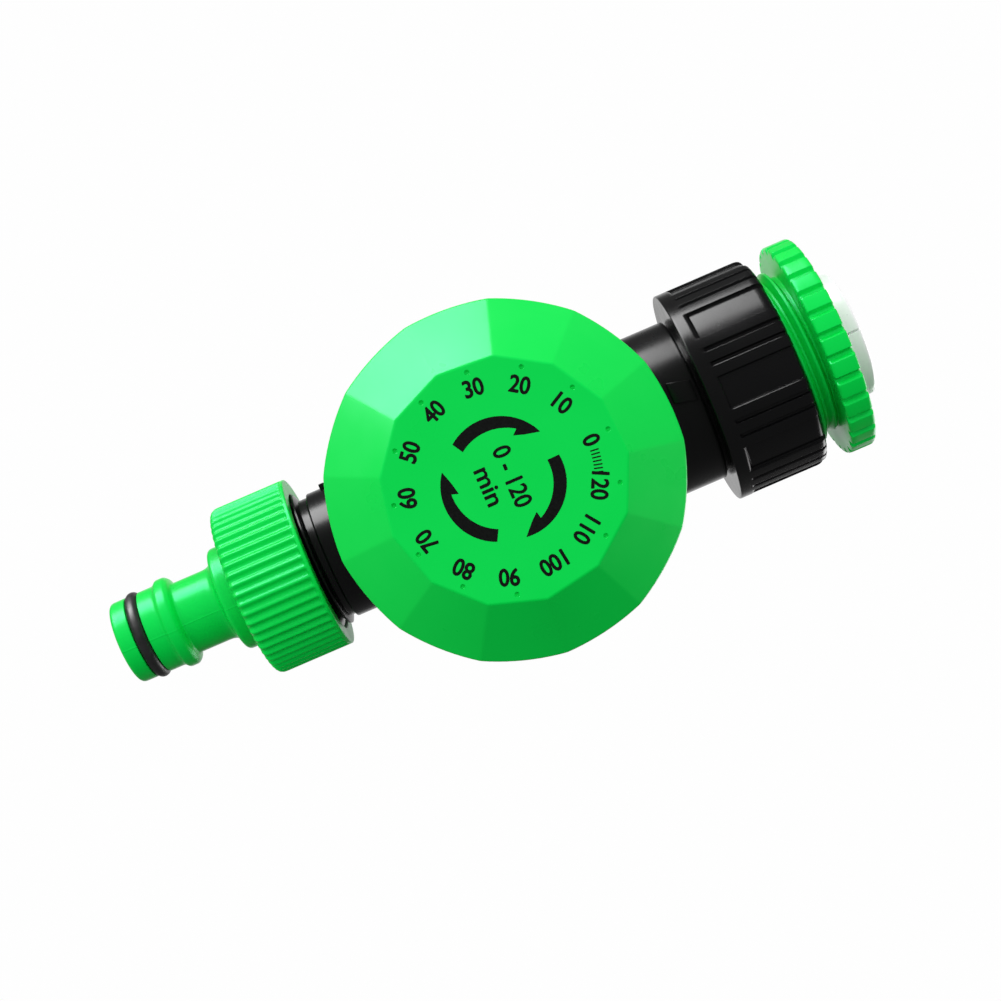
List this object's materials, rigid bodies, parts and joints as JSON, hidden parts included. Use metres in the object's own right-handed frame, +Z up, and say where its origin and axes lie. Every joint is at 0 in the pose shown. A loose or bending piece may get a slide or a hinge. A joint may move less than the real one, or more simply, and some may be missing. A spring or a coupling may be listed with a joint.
{
  "type": "drip irrigation timer",
  "caption": "Wind-up water timer that hangs from a garden tap: faceted round dial on a black case, threaded union inlet above, quick-connect hose nipple below.",
  "frame": {"origin": "centre of the mouth of the tap thread, where the timer hangs from the tap", "axes": "+Z up the water path into the tap, -Y out through the face of the dial, +X to the right when the dial is seen from the front"},
  "size_m": [0.0628, 0.0605, 0.1472],
  "materials": {
    "green_plastic": "satin moulded ABS",
    "black_plastic": "satin moulded ABS",
    "black_rubber": "matt",
    "chrome": "bright plating",
    "brass": "stamped",
    "steel": "bright drawn",
    "white_plastic": "natural acetal"
  },
  "bodies": {
    "inlet_coupling": {"tap_reducer": "chrome", "tap_washer": "black_rubber", "thread_adapter": "green_plastic", "reducer_washer": "black_rubber", "inlet_nut": "black_plastic", "inlet_washer": "black_rubber"},
    "timer_body": {"valve_body": "black_plastic", "rear_cover": "black_plastic", "cover_screws": "steel", "movement_screws": "steel", "valve_cap": "white_plastic", "valve_cap_seal": "black_rubber", "shaft_bonnet": "white_plastic", "bonnet_seal": "black_rubber", "plunger_seal": "black_rubber", "valve_spring": "steel", "rear_plate": "brass", "front_plate": "brass", "plate_pillars": "brass", "spring_stud": "brass", "mainspring": "steel", "movement_cover": "black_plastic", "swivel_ring": "white_plastic", "filter_screen": "white_plastic", "outlet_nipple": "green_plastic", "nipple_o_ring": "black_rubber", "outlet_washer": "black_rubber"},
    "dial": {"dial": "green_plastic", "hub_clip": "steel", "dial_shaft": "steel", "main_wheel": "brass", "lift_cam": "white_plastic"},
    "second_arbor": {"second_pinion": "steel", "second_wheel": "brass"},
    "third_arbor": {"third_pinion": "steel", "third_wheel": "brass"},
    "escape_arbor": {"escape_pinion": "steel", "escape_wheel": "brass"},
    "pallets": {"pallet_lever": "brass", "pallet_arbor": "steel"},
    "valve_plunger": {"plunger": "white_plastic", "valve_disc": "black_rubber", "disc_holder": "white_plastic", "disc_nut": "brass"},
    "outlet_nut": {"outlet_nut": "green_plastic"}
  },
  "joints": [
    {"name": "inlet_swivel", "type": "hinge", "parent": "inlet_coupling", "child": "timer_body", "pos_m": [0, 0, -0.029], "axis": [0, 0, 1], "continuous": true},
    {"name": "dial_turn", "type": "hinge", "parent": "timer_body", "child": "dial", "pos_m": [0, 0, -0.0696], "axis": [0, 1, 0], "range_deg": [0, 332.31], "stiffness_Nm_per_rad": 0.004, "springref_deg": -85.94},
    {"name": "second_turn", "type": "hinge", "parent": "timer_body", "child": "second_arbor", "pos_m": [-0.0096, 0, -0.06406], "axis": [0, 1, 0], "range_deg": [-1500, 0]},
    {"name": "third_turn", "type": "hinge", "parent": "timer_body", "child": "third_arbor", "pos_m": [-0.01044, 0, -0.0733], "axis": [0, 1, 0], "range_deg": [0, 5400]},
    {"name": "escape_turn", "type": "hinge", "parent": "timer_body", "child": "escape_arbor", "pos_m": [-0.00397, 0, -0.07995], "axis": [0, 1, 0], "range_deg": [-19400, 0]},
    {"name": "pallet_rock", "type": "hinge", "parent": "timer_body", "child": "pallets", "pos_m": [0.00221, 0, -0.08046], "axis": [0, 1, 0], "range_deg": [-4, 4]},
    {"name": "plunger_lift", "type": "slide", "parent": "timer_body", "child": "valve_plunger", "axis": [0, 1, 0], "range_m": [0, 0.00245], "deforming": ["valve_spring"]},
    {"name": "outlet_nut_turn", "type": "hinge", "parent": "timer_body", "child": "outlet_nut", "pos_m": [0, 0, -0.1166], "axis": [0, 0, 1], "continuous": true}
  ],
  "couplings": [
    {"joint": "second_turn", "follows": "dial_turn", "ratio": -4.5},
    {"joint": "third_turn", "follows": "dial_turn", "ratio": 16.2},
    {"joint": "escape_turn", "follows": "dial_turn", "ratio": -58.32},
    {"joint": "plunger_lift", "follows": "dial_turn", "m_per_rad": 0.0004138}
  ]
}
